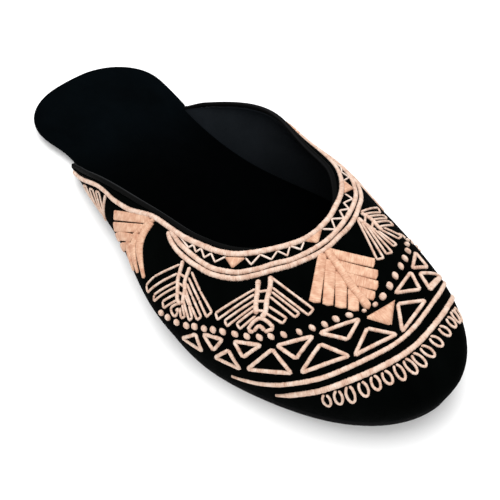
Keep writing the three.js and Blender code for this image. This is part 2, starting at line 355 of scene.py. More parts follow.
def splitPlace(tree, where, axis):
    place = addNode(tree, "TexCoord").outputs[where]
    return addNode(tree, "SeparateXYZ", {"Vector": place}).outputs[axis]


def shadeTowardsToe(tree, colour, fade):
    # painted shade: the colour falls off along the shoe towards the toe, where the upper closes over the inside, from
    # one place to another, down to the share that is left
    start, end, left = fade
    share = mapTo(tree, splitPlace(tree, "Object", "X"), 1.0, left, start, end, "SMOOTHSTEP")
    return addNode(tree, "VectorMath", {"Vector": colour, "Scale": share}, "SCALE").outputs["Vector"]


finishLooks = {
    "upperVelvet": {
        "deep": (0.0003, 0.0005, 0.0004), "lit": (0.0009, 0.0013, 0.0012), "rough": 1.0, "shine": 0.006,
        "sheen": 0.003, "sheenRough": 0.35, "sheenTint": (0.8, 0.85, 1.0), "brushScale": 42, "pileScale": 1900,
        "pileBump": 0.5,
    },
    "insoleVelvet": {
        "deep": (0.0004, 0.0009, 0.0012), "lit": (0.0009, 0.0018, 0.0025), "rough": 1.0, "shine": 0.008,
        "sheen": 0.003, "sheenRough": 0.35, "sheenTint": (0.7, 0.85, 1.0), "brushScale": 30, "pileScale": 1700,
        # painted shade under the upper: the insole colour falls off towards the toe
        "pileBump": 0.5, "paintedShade": (-0.085, -0.02, 0.15),
    },
    "liningTwill": {
        "deep": (0.003, 0.0043, 0.0058), "lit": (0.005, 0.0068, 0.009), "rough": 0.8, "shine": 0.06,
        "sheen": 0.01, "sheenRough": 0.5, "fadeScale": 60, "threadScale": 520, "weaveBump": 0.35,
        "paintedShade": (-0.04, 0.035, 0.3),  # painted shade inside the toe box: from and to along the shoe, in metres, and the share left there
    },
    "pipingSatin": {
        "deep": (0.0028, 0.0028, 0.0028), "lit": (0.021, 0.0215, 0.023), "rough": 0.8, "shine": 0.02,
        "sheen": 0.003, "sheenRough": 0.4, "fadeScale": 220, "weaveScale": 900, "weaveBump": 0.3,
        # lit is a painted highlight: a narrow lighter band on the inner upper side of the piping, faded along the
        # topline
        "highlightFrom": 0.94, "highlightTo": 0.99,
        "highlightFade": [(0.0, 1.0), (0.25, 0.8), (0.4, 0.0), (0.6, 0.0), (0.75, 0.3)],
    },
    "peachFloss": {
        # shade and light are tones of painted shade and painted highlight round the plain mid colour of the floss
        "shade": (0.44, 0.22, 0.14), "mid": (0.54, 0.315, 0.21), "light": (0.66, 0.44, 0.31), "rough": 0.6,
        "shine": 0.15, "sheen": 0.05, "sheenRough": 0.35, "perMm": 2.4, "stitchShadeShare": 0.62, "stitchBump": 0.9,
        "patchScale": 420, "patchShare": (-0.03, 0.41),
    },
    "cordFloss": {"shade": (0.43, 0.26, 0.19), "mid": (0.575, 0.41, 0.32), "light": (0.67, 0.54, 0.46)},
    "paleFloss": {"shade": (0.55, 0.39, 0.31), "mid": (0.66, 0.53, 0.45), "light": (0.74, 0.63, 0.56)},
    "soleRubber": {
        "deep": (0.0012, 0.0012, 0.0014), "lit": (0.003, 0.003, 0.0033), "rough": 0.85, "shine": 0.06,
        "scuffScale": 90, "grainScale": 1400,
    },
}


def velvetFinish(name):
    look = finishLooks[name]
    finish = newFinish(name, look, look["deep"], look["sheenTint"])
    tree = finish.node_tree
    brushed = noiseAt(tree, look["brushScale"], detail=4, stretch=(1, 1.7, 1), rough=0.6)
    colour = rampOf(tree, brushed, [(0.3, look["deep"]), (0.75, look["lit"])])
    # painted shade towards the toe, where the look gives one
    if "paintedShade" in look:
        colour = shadeTowardsToe(tree, colour, look["paintedShade"])
    lay = noiseAt(tree, look["brushScale"] * 6, detail=3)
    soft = bumpFrom(tree, lay, strength=0.3, depth=0.0004)
    pile = noiseAt(tree, look["pileScale"], detail=2, rough=0.7)
    bump = bumpFrom(tree, pile, look["pileBump"], depth=0.00025, below=soft)
    return dress(finish, colour=colour, rough=mapTo(tree, lay, look["rough"] - 0.12, look["rough"]), bump=bump)


def clothFinish(name):
    look = finishLooks[name]
    finish = newFinish(name, look, look["deep"], look["lit"])
    tree = finish.node_tree
    fade = noiseAt(tree, look["fadeScale"], detail=3)
    colour = rampOf(tree, fade, [(0.3, look["deep"]), (0.7, look["lit"])])
    # painted shade inside the toe box
    colour = shadeTowardsToe(tree, colour, look["paintedShade"])
    rough = noiseAt(tree, look["fadeScale"] * 5, detail=2)
    rough = mapTo(tree, rough, look["rough"] - 0.08, look["rough"] + 0.06)
    place = addNode(tree, "TexCoord").outputs["Object"]
    threads = []  # one set each way
    for axis in ("X", "Z"):
        inputs = {"Vector": place, "Scale": look["threadScale"], "Distortion": 1.2, "Detail": 1}
        thread = addNode(tree, "TexWave", inputs)
        thread.bands_direction = axis
        threads.append(thread.outputs["Fac"])
    weave = addNode(tree, "Math", enumerate(threads), "MAXIMUM").outputs["Value"]
    return dress(finish, colour=colour, rough=rough, bump=bumpFrom(tree, weave, look["weaveBump"], depth=0.00012))


def flossFinish(name):
    # satin stitches lie across the cord, so the streaks are short along it (map x) and long across it (map y); the
    # streak colour is painted shade in the grooves between stitches and painted light on their tops, following the
    # same noise as the bump, while the patches are the floss's own uneven tone
    look = finishLooks["peachFloss"] | finishLooks[name]
    finish = newFinish(name, look, look["mid"], look["light"])
    tree = finish.node_tree
    stitch = noiseAt(tree, 1.0, 1, "UV", stretch=(look["perMm"], 0.22, 1), rough=0.4)
    patch = mapTo(tree, noiseAt(tree, look["patchScale"], detail=3), *look["patchShare"])
    # painted shade in the stitch grooves and painted light on the stitch tops, plus the floss's own uneven patches
    share = addNode(tree, "Math", {0: stitch, 1: look["stitchShadeShare"], 2: patch}, "MULTIPLY_ADD").outputs["Value"]
    colour = rampOf(tree, share, [(0.28, look["shade"]), (0.5, look["mid"]), (0.74, look["light"])])
    fibre = noiseAt(tree, 1.0, 2, "UV", stretch=(look["perMm"] * 3, 1.2, 1), rough=0.6)
    fine = bumpFrom(tree, fibre, strength=0.25, depth=0.00008)
    bump = bumpFrom(tree, stitch, look["stitchBump"], depth=0.00022, below=fine)
    rough = mapTo(tree, stitch, look["rough"] + 0.1, look["rough"] - 0.06)
    return dress(finish, colour=colour, rough=rough, bump=bump)


def pipingFinish(name):
    # map x runs along the topline and map y is highest where the highlight is painted on the piping
    look = finishLooks[name]
    finish = newFinish(name, look, look["deep"], look["lit"])
    tree = finish.node_tree
    # painted highlight: a narrow band round the section, faded along the topline and broken up by noise
    highlightAt = [(look["highlightFrom"], (0, 0, 0)), (look["highlightTo"], (1, 1, 1))]
    share = rampOf(tree, splitPlace(tree, "UV", "Y"), highlightAt)
    fade = rampOf(tree, splitPlace(tree, "UV", "X"), [(at, (left,) * 3) for at, left in look["highlightFade"]])
    # noise breaks up the painted highlight
    highlightBreakup = mapTo(tree, noiseAt(tree, look["fadeScale"], detail=3), 0.7, 1.0)
    for part in (fade, highlightBreakup):
        share = addNode(tree, "Math", {0: share, 1: part}, "MULTIPLY").outputs["Value"]
    colour = rampOf(tree, share, [(0, look["deep"]), (1, look["lit"])])
    weave = noiseAt(tree, look["weaveScale"], detail=2, stretch=(1, 1, 1.6))
    bump = bumpFrom(tree, weave, look["weaveBump"], depth=0.0001)
    return dress(finish, colour=colour, rough=mapTo(tree, share, look["rough"], look["rough"] - 0.1), bump=bump)


def rubberFinish(name):
    look = finishLooks[name]
    finish = newFinish(name, look, look["deep"])
    tree = finish.node_tree
    scuff = noiseAt(tree, look["scuffScale"], detail=5, rough=0.65)
    colour = rampOf(tree, scuff, [(0.35, look["deep"]), (0.8, look["lit"])])
    bump = bumpFrom(tree, noiseAt(tree, look["grainScale"], detail=2), strength=0.3, depth=0.00012)
    rough = mapTo(tree, scuff, look["rough"] - 0.1, look["rough"] + 0.12)
    return dress(finish, colour=colour, rough=rough, bump=bump)


upperVelvet = velvetFinish("upperVelvet")
insoleVelvet = velvetFinish("insoleVelvet")
liningTwill = clothFinish("liningTwill")
pipingSatin = pipingFinish("pipingSatin")
peachFloss = flossFinish("peachFloss")
cordFloss = flossFinish("cordFloss")
paleFloss = flossFinish("paleFloss")
soleRubber = rubberFinish("soleRubber")
print("finishes ready")

# the upper: velvet outside and lining cloth inside, each a closed skin between two depths of the wall
upperSizes = {
    "ribs": 289,
    "rows": 56,
    "rowsLow": 0.25,  # how much closer the rows are near the sole
    "velvetDepth": 1.25,
    "liningFrom": 1.35,
    "liningTo": 2.6,
    "leastCloth": 0.1,
    "tuckUnderPiping": 1.0,  # the skins end this far below the topline, inside the piping
    "endRound": 0.8,
    "featherRound": 0.9,  # radius of the turned edge at the sole
    "liningTurn": 0.3,  # the share of it that the lining takes
    "seatGap": 0.3,
    # the velvet gathers a little where it is lasted round the toe
    "puckerDepth": 0.22,
    "puckerPitch": 7.5,
    "puckerSway": (1.3, 11.0),
    "puckerRibs": 4.5,
    "puckerHeight": 3.0,
    # soft wrinkles of the lining: rib, up, half length in ribs, half width in up, depth as a part
    "wrinkleDepth": 0.35,
    "wrinkleSlant": 0.05,
    "wrinkles": [
        (14.2, 0.7, 0.8, 0.05, 1.0), (16.4, 0.55, 0.9, 0.05, 0.8), (18.3, 0.5, 0.8, 0.07, 1.0),
        (19.8, 0.4, 0.6, 0.08, 0.7), (10.1, 0.66, 0.7, 0.05, 0.9), (7.8, 0.52, 0.8, 0.06, 0.8),
        (5.6, 0.55, 0.7, 0.08, 0.9), (3.9, 0.45, 0.5, 0.1, 0.6), (12.4, 0.45, 1.0, 0.04, 0.9),
    ],
}


def liningWrinkles(point, height, ribs, ups):
    ripple = np.zeros(ups.shape)
    for middle, at, length, width, part in upperSizes["wrinkles"]:
        slanted = ups - at + upperSizes["wrinkleSlant"] * (ribs - middle)
        ripple += part * np.exp(-(((ribs - middle) / length) ** 2 + (slanted / width) ** 2))
    return -upperSizes["wrinkleDepth"] * ripple * (ups > 0)


def featherPuckers(point, height, ribs, ups):
    run = runAlong(point[:, 0])[:, None]
    gather = np.clip(1 - np.abs(ribs - toeRib) / upperSizes["puckerRibs"], 0, 1)
    sway, swayPitch = upperSizes["puckerSway"]
    wave = 0.5 - 0.5 * np.cos(2 * np.pi * run / upperSizes["puckerPitch"] + sway * np.sin(run / swayPitch))
    return upperSizes["puckerDepth"] * gather * wave * np.exp(-height / upperSizes["puckerHeight"])


def wallSkin(outerDepth, innerDepth, turnShare, outerExtra=None, innerExtra=None):
    # turnShare says how much of the rounded edge at the sole the outer face takes
    ribs = np.linspace(0, endRib, upperSizes["ribs"])[:, None]
    end = shortOfTopline(ribs, upperSizes["tuckUnderPiping"])
    steps = np.linspace(0, 1, upperSizes["rows"])[None, :]
    ups = steps * (1 - upperSizes["rowsLow"] + upperSizes["rowsLow"] * steps) * end
    point, along, rise, normal = wallFrame(np.broadcast_to(ribs, ups.shape), ups)
    point[:, 0, 2] -= upperSizes["seatGap"]  # the lasted edge sits on the sole
    height = np.cumsum(np.linalg.norm(np.diff(point, axis=1), axis=-1), axis=1)
    height = np.concatenate([np.zeros_like(ribs), height], 1)
    radius = upperSizes["featherRound"]
    left = np.clip(radius - height, 0, radius)
    outer = outerDepth + turnShare * (radius - np.sqrt(np.maximum(radius**2 - left**2, 0)))
    if outerExtra:
        outer = outer + outerExtra(point, height, ribs, ups)
    inner = innerDepth + (innerExtra(point, height, ribs, ups) if innerExtra else np.zeros(ups.shape))
    inner = np.maximum(inner, outer + upperSizes["leastCloth"])
    outside = point - normal * outer[..., None]
    inside = point - normal * inner[..., None]
    return skinSections(np.concatenate([outside[:, ::-1], inside], axis=1), upperSizes["endRound"])


points, faces = wallSkin(0.0, upperSizes["velvetDepth"], 1.0, outerExtra=featherPuckers)
newPiece("velvetUpper", points, faces, upperVelvet, standsFor=["upper"])
points, faces = wallSkin(
    upperSizes["liningFrom"], upperSizes["liningTo"], upperSizes["liningTurn"], innerExtra=liningWrinkles)
newPiece("liningCloth", points, faces, liningTwill)

# the piping: a folded satin strip round a cord, on the edge of the topline
piping = {
    "halfWidth": 1.08,
    "halfDepth": 1.1,
    "steps": 420,
    "sides": 24,
    "square": 0.9,
    "inset": 1.3,  # the cord's middle is in the middle of the wall
    "edgeRoom": 1.5,  # its directions are taken this far below the topline
    "endRound": 1.7,
    "cornerDown": 1.0,
    "cornerRibs": 0.8,
    # it rolls inwards along the throat: from and to which rib, and over how many ribs that begins and ends
    "rollFrom": 8.5,
    "rollTo": 16.5,
    "rollOver": (2.5, 1.5),
    "rollIn": 0.7,
    "rollDown": 1.0,
    # where the painted highlight lies on the piping: rib, and degrees from the outer side over the top
    "highlightTurn": [(0, 112), (3, 106), (6, 90), (12, 82), (18, 90), (24, 100)],
}


def toplinePath(ribs):
    edge, along, rise, normal = wallFrame(ribs, shortOfTopline(ribs, piping["edgeRoom"]))
    offEdge = unit(np.cross(normal, along))
    startOver, endOver = piping["rollOver"]
    roll = smoothStep((ribs - piping["rollFrom"]) / startOver) * smoothStep((piping["rollTo"] - ribs) / endOver)
    corner = 1 - smoothStep(np.minimum(ribs, endRib - ribs) / piping["cornerRibs"])
    lift = piping["edgeRoom"] - piping["rollDown"] * roll - piping["cornerDown"] * corner
    middle = edge - normal * (piping["inset"] + piping["rollIn"] * roll)[:, None] + offEdge * lift[:, None]
    return middle, offEdge, normal


def squaredRing(sides, square):
    # a circle of points, or one that is drawn out towards a square
    turns = 2 * np.pi * np.arange(sides) / sides
    x, z = np.cos(turns), np.sin(turns)
    return np.sign(x) * np.abs(x) ** square, np.sign(z) * np.abs(z) ** square


centre, offEdge, normal = toplinePath(np.linspace(0, endRib, piping["steps"]))
across, upward = squaredRing(piping["sides"], piping["square"])
across, upward = (across * piping["halfDepth"])[None, :, None], (upward * piping["halfWidth"])[None, :, None]
sections = centre[:, None] + normal[:, None] * across + offEdge[:, None] * upward
points, faces = skinSections(sections, piping["endRound"])
caps = len(capRings)
along = np.concatenate([[0] * caps, np.linspace(0, 1, piping["steps"]), [1] * caps])
# the painted highlight's place round the piping, rib by rib
highlightAt = np.radians(np.interp(along * endRib, *zip(*piping["highlightTurn"])))
turns = 2 * np.pi * np.arange(piping["sides"]) / piping["sides"]
facing = 0.5 + 0.5 * np.cos(turns[None] - highlightAt[:, None])
highlightMap = np.stack([np.broadcast_to(along[:, None], facing.shape), facing], -1).reshape(-1, 2)
newPiece("toplinePiping", points, faces, pipingSatin, highlightMap, standsFor=["binding"])


# the sole: outline loops set in by steps, closed over and under by a grid from side to side
def soleStations(heelRows, middleRows, toeRows):
    # closer towards the heel and the toe, where the outline turns
    heel = last["heelRound"] * (1 - np.cos(np.linspace(0, np.pi / 2, heelRows, endpoint=False)))
    between = np.linspace(last["heelRound"], last["toeStart"], middleRows, endpoint=False)
    toe = last["toeStart"] + (last["length"] - last["toeStart"]) * np.sin(np.linspace(0, np.pi / 2, toeRows))
    return np.concatenate([heel, between, toe])


def soleLoop(stations):
    lateral = np.stack([stations, soleEdgeY(stations, -1)], -1)
    medial = np.stack([stations[1:-1], soleEdgeY(stations[1:-1], 1)], -1)
    return np.concatenate([lateral, medial[::-1]])


def setIn(loop, amount):
    along = unit(np.roll(loop, -1, axis=0) - np.roll(loop, 1, axis=0))
    return loop + np.stack([-along[:, 1], along[:, 0]], -1) * amount[:, None]


def padFrom(stations, insetAt, levels, columns, topHeight, underHeight):
    # levels are (set in, height) from the underside up; a height is a function of the place
    loop = soleLoop(stations)
    count, half = len(loop), len(stations) - 1
    rings = [setIn(loop, insetAt(loop) + inset) for inset, height in levels]
    points = [np.concatenate([ring, height(ring)[:, None]], 1) for ring, (inset, height) in zip(rings, levels)]
    faces = ringFaces(len(rings), count)
    total = len(rings) * count
    for base, ring, heightAt in ((total - count, rings[-1], topHeight), (0, rings[0], underHeight)):
        grid = {}
        extra = []
        for i in range(half + 1):
            near, far = i % count, (count - i) % count
            for c in range(columns + 1):
                if c == 0 or near == far:
                    grid[i, c] = base + near
                elif c == columns:
                    grid[i, c] = base + far
                else:
                    part = 0.5 - 0.5 * math.cos(math.pi * c / columns)
                    grid[i, c] = total + len(extra)
                    extra.append(ring[near] + (ring[far] - ring[near]) * part)
        extra = np.array(extra)
        points.append(np.concatenate([extra, heightAt(extra)[:, None]], 1))
        total += len(extra)
        for i in range(half):
            for c in range(columns):
                corners = [grid[i, c], grid[i + 1, c], grid[i + 1, c + 1], grid[i, c + 1]]
                kept = [v for k, v in enumerate(corners) if v != corners[k - 1]]
                if len(kept) > 2:
                    faces.append(tuple(kept))
    return np.concatenate(points), faces


def archAt(station):
    part = np.clip((station - last["archStart"]) / (last["archEnd"] - last["archStart"]), 0, 1)
    return last["archRelief"] * np.sin(np.pi * part) ** 2


def levelAt(height, arched=0):
    # so high over the floor, with the toe spring, and with the arch too for the underside
    return lambda spots: springAt(spots[:, 0]) + arched * archAt(spots[:, 0]) + height


insole = {
    "base": 3.5,
    "thickness": 2.9,
    "underEdge": [(0.9, 0), (0.3, 0.25), (0, 0.8)],  # set in and height, from the underside up
    "edgeRound": 1.5,
    "edgeSteps": 7,
    "insetInUpper": 1.7,  # closes up to the lining
    "stepFrom": 60.0,
    "stepTo": 66.0,
    "heelShift": 0.55,  # the heel part stands this far to the medial side
    "shiftOver": 8.0,
    "cornerTuck": 1.8,  # and narrows towards the lateral corner of the upper
    "tuckFrom": 32.0,
    "tuckOver": 26.0,
    "heelDish": 0.7,
    "dishStation": 34.0,
    "dishLength": 26.0,
    "dishWidth": 20.0,
    "crown": 0.35,
    "crownEnds": (14.0, 20.0),  # it comes up over these lengths at the heel and at the toe
    "rows": (26, 90, 36),  # at the heel, between and at the toe
    "columns": 30,
}


def insoleInset(loop):
    x, y = loop[:, 0], loop[:, 1]
    shift = insole["heelShift"] * np.clip(-y / insole["shiftOver"], -1, 1)
    tuck = insole["cornerTuck"] * smoothStep((x - insole["tuckFrom"]) / insole["tuckOver"]) * (y < 0)
    share = smoothStep((x - insole["stepFrom"]) / (insole["stepTo"] - insole["stepFrom"]))
    return (shift + tuck) * (1 - share) + insole["insetInUpper"] * share


def insoleTop(spots):
    # dished under the heel, with a soft crown along the middle of the waist
    x, y = spots[:, 0], spots[:, 1]
    lateral, medial = soleEdgeY(x, -1), soleEdgeY(x, 1)
    middle = np.sin(np.pi * np.clip((y - lateral) / np.maximum(medial - lateral, 1), 0, 1)) ** 2
    dish = np.exp(-(((x - insole["dishStation"]) / insole["dishLength"]) ** 2 + (y / insole["dishWidth"]) ** 2))
    heelEnd, toeEnd = insole["crownEnds"]
    ends = np.clip(x / heelEnd, 0, 1) * np.clip((last["length"] - x) / toeEnd, 0, 1)
    lift = insole["crown"] * middle * ends - insole["heelDish"] * dish
    return levelAt(insole["base"] + insole["thickness"])(spots) + lift


levels = [(inset, levelAt(insole["base"] + height)) for inset, height in insole["underEdge"]]
for turn in np.linspace(0, math.pi / 2, insole["edgeSteps"]):
    drop = insole["edgeRound"] * (1 - math.sin(turn))
    height = insole["base"] + insole["thickness"] - drop
    levels.append((insole["edgeRound"] * (1 - math.cos(turn)), levelAt(height)))
points, faces = padFrom(
    soleStations(*insole["rows"]), insoleInset, levels, insole["columns"], insoleTop, levelAt(insole["base"]))
innerSole = newPiece("innerSole", points, faces, insoleVelvet, standsFor=["insole"])

outsole = {
    "heelInset": 1.6,
    "foreInset": 0.5,  # under the upper the sole edge shows
    "insetFrom": 55.0,
    "insetTo": 105.0,
    "waistTuck": 2.0,  # the lateral edge draws in at the waist
    "tuckStation": 50.0,
    "tuckReach": 26.0,
    "thickness": 3.2,
    "underEdge": [(0.6, 0), (0.25, 0.14), (0.0, 0.5)],  # set in and height, from the underside up
    "topEdge": [(0.0, 0.3), (0.25, 0)],  # set in and depth below the top
    "grooveDepth": 0.5,
    "groovePitch": 5.0,
    "grooveWidth": 1.7,
    "grooveLip": 0.25,
    "treadFrom": 14.0,
    "treadTo": 236.0,
    "margin": 7.0,
    "rows": (20, 40, 30),
    "columns": 24,
}


def outsoleUnder(spots):
    x, y = spots[:, 0], spots[:, 1]
    inside = np.minimum(y - soleEdgeY(x, -1), soleEdgeY(x, 1) - y)
    phase = np.mod(x - outsole["treadFrom"], outsole["groovePitch"])
    cut = (phase < outsole["grooveWidth"]) & (inside > outsole["margin"])
    cut = cut & (x >= outsole["treadFrom"]) & (x < outsole["treadTo"])
    return levelAt(0, arched=1)(spots) + np.where(cut, outsole["grooveDepth"], 0)


def outsoleStations():
    # rows just inside and just outside both edges of each groove, so that the grooves are crisp
    start = np.arange(outsole["treadFrom"], outsole["treadTo"], outsole["groovePitch"])
    width, lip, justIn, leastGap = outsole["grooveWidth"], outsole["grooveLip"], 0.001, 0.15
    shifts = (-lip, justIn, lip, width - lip, width - justIn, width + lip)
    rows = np.concatenate([soleStations(*outsole["rows"])] + [start + shift for shift in shifts])
    rows = np.unique(np.round(rows, 3))
    return rows[np.concatenate([[True], np.diff(rows) > leastGap])]


def outsoleInset(loop):
    share = smoothStep((loop[:, 0] - outsole["insetFrom"]) / (outsole["insetTo"] - outsole["insetFrom"]))
    waist = np.maximum(0, 1 - ((loop[:, 0] - outsole["tuckStation"]) / outsole["tuckReach"]) ** 2)
    tuck = outsole["waistTuck"] * waist**2 * (loop[:, 1] < 0)
    return outsole["heelInset"] + (outsole["foreInset"] - outsole["heelInset"]) * share + tuck


levels = [(inset, levelAt(height, arched=1)) for inset, height in outsole["underEdge"]]
levels += [(inset, levelAt(outsole["thickness"] - depth)) for inset, depth in outsole["topEdge"]]
points, faces = padFrom(
    outsoleStations(), outsoleInset, levels, outsole["columns"], levelAt(outsole["thickness"]), outsoleUnder)
newPiece("outsoleRubber", points, faces, soleRubber, standsFor=["outsole"])


# the embroidery: everything is charted on the upper as (rib, up), and worked as raised stitches in peach floss
mapShift = 0.37  # each length of floss starts at another place of the stitch map
cordShape = {
    "endRound": 0.45,  # the ends are rounded over this share of the width
    "leastEnd": 0.02,
    "liftWander": 0.5,  # how unevenly it rises and lies, as shares of how unevenly wide it is
    "sway": 0.35,
}


def onWall(goals, chart, tries=5):
    # the charted places nearest to points beside the surface, from a first guess
    ribStep, upStep = nearby["chartRib"], nearby["chartUp"]
    for turn in range(tries):
        rib, up = chart[:, 0], chart[:, 1]
        miss = goals - wallPoint(rib, up)
        perRib = (wallPoint(rib + ribStep, up) - wallPoint(rib - ribStep, up)) / (2 * ribStep)
        perUp = (wallPoint(rib, up + upStep) - wallPoint(rib, up - upStep)) / (2 * upStep)
        a, b, c = (perRib * perRib).sum(1), (perRib * perUp).sum(1), (perUp * perUp).sum(1)
        d, e = (perRib * miss).sum(1), (perUp * miss).sum(1)
        chart = chart + np.stack([c * d - b * e, a * e - b * d], -1) / (a * c - b * b)[:, None]
    return chart


def wallPath(corners, step, past=0.0):
    # a straight line between two charted places or a smooth one through more, at equal steps
    corners = np.array(corners, float)
    spots = wallPoint(corners[:, 0], corners[:, 1])
    run = runAlong(spots)
    places = np.linspace(-past, run[-1] + past, max(3, round((run[-1] + 2 * past) / step) + 1))
    if len(corners) > 2:
        return onWall(splineThrough(run, spots)(places), splineThrough(run, corners)(places))
    part = (places / run[-1])[:, None]
    return onWall(spots[0] + (spots[-1] - spots[0]) * part, corners[0] + (corners[-1] - corners[0]) * part)


def newHank(seed):
    return {"points": [], "faces": [], "uv": [], "total": 0, "wander": np.random.RandomState(seed)}


def addTo(hank, points, faces, uv):
    hank["points"].append(points)
    hank["faces"] += [tuple(v + hank["total"] for v in face) for face in faces]
    hank["uv"].append(uv)
    hank["total"] += len(points)


def finishHank(name, hank, floss):
    newPiece(name, np.concatenate(hank["points"]), hank["faces"], floss, uv=np.concatenate(hank["uv"]))


def layCord(hank, chart, width, height, wander=0.08, endRound=None, sides=10, square=1.0, sink=0.22, taper=None):
    # a raised satin-stitched cord along a charted path; taper gives its width along it as a function of 0 to 1
    spot, along, rise, normal = wallFrame(chart[:, 0], chart[:, 1])
    across = unit(np.cross(normal, unit(np.gradient(spot, axis=0))))
    run = runAlong(spot)
    rows = len(run)
    near = np.minimum(run, run[-1] - run) / (width * cordShape["endRound"] if endRound is None else endRound)
    end = np.sqrt(np.clip(1 - (1 - np.clip(near, 0, 1)) ** 2, cordShape["leastEnd"], 1))
    size = end * (1 + wander * hank["wander"].uniform(-1, 1, rows))
    if taper is not None:
        size = size * taper(run / run[-1])
    lift = end * (1 + cordShape["liftWander"] * wander * hank["wander"].uniform(-1, 1, rows))
    sway = cordShape["sway"] * wander * width * hank["wander"].uniform(-1, 1, rows) * end
    x, z = squaredRing(sides, square)
    z = np.where(z >= 0, z * height, z * sink)
    offsets = x[None] * (width / 2 * size)[:, None] + sway[:, None]
    lifts = z[None] * np.where(z > 0, lift[:, None], 1)
    points = spot[:, None] + across[:, None] * offsets[..., None] + normal[:, None] * lifts[..., None]
    uv = np.stack([np.broadcast_to(run[:, None] + hank["total"] * mapShift, (rows, sides)),
                   np.broadcast_to((x * width / 2)[None, :], (rows, sides))], -1)
    addTo(hank, points.reshape(-1, 3), ringFaces(rows, sides) + endFaces(rows, sides), uv.reshape(-1, 2))


def layLine(hank, corners, width, height, step=0.5, **more):
    layCord(hank, wallPath(corners, step), width, height, **more)


def layStraights(hank, corners, width, height, closed=False, **more):
    # straight cords from corner to corner, which run a little past each other
    corners = list(corners) + ([corners[0]] if closed else [])
    for ends in zip(corners[:-1], corners[1:]):
        layCord(hank, wallPath(ends, step=0.8, past=0.3), width, height, **more)


def layPad(hank, corners, height, fine=10, edge=0.7, sink=0.25):
    # a three-cornered pad of flat satin stitch with straight sides
    parts = np.array([(i, j, fine - i - j) for i in range(fine + 1) for j in range(fine + 1 - i)]) / fine
    index = {tuple(np.round(row[:2] * fine).astype(int)): k for k, row in enumerate(parts)}
    corners = np.array(corners, float)
    ends = wallPoint(corners[:, 0], corners[:, 1])
    chart = onWall(parts @ ends, parts @ corners)
    spot, along, rise, normal = wallFrame(chart[:, 0], chart[:, 1])
    sides = np.linalg.norm(np.roll(ends, -1, axis=0) - np.roll(ends, 1, axis=0), axis=1)
    area = np.linalg.norm(np.cross(ends[1] - ends[0], ends[2] - ends[0])) / 2
    inside = np.min(parts * 2 * area / sides, axis=1)
    lift = height * np.sqrt(np.clip(1 - (1 - np.clip(inside / edge, 0, 1)) ** 2, 0, 1))
    faces = []
    for i in range(fine):
        for j in range(fine - i):
            faces.append((index[i, j], index[i + 1, j], index[i, j + 1]))
            if i + j < fine - 1:
                faces.append((index[i + 1, j], index[i + 1, j + 1], index[i, j + 1]))
    total = len(parts)
    faces += [tuple(v + total for v in face[::-1]) for face in faces]
    rim = [index[i, 0] for i in range(fine + 1)] + [index[fine - k, k] for k in range(1, fine + 1)]
    rim += [index[0, fine - k] for k in range(1, fine)]
    faces += [(v, w, w + total, v + total) for v, w in zip(rim, rim[1:] + rim[:1])]
    flat = np.stack([(spot - spot[0]) @ along[0], (spot - spot[0]) @ rise[0]], -1) + hank["total"] * mapShift
    points = np.concatenate([spot + normal * lift[:, None], spot - normal * sink])
    addTo(hank, points, faces, np.concatenate([flat, flat]))


def mirrored(corners, lower=0.0):
    return [(endRib - rib, up - lower) for rib, up in corners]


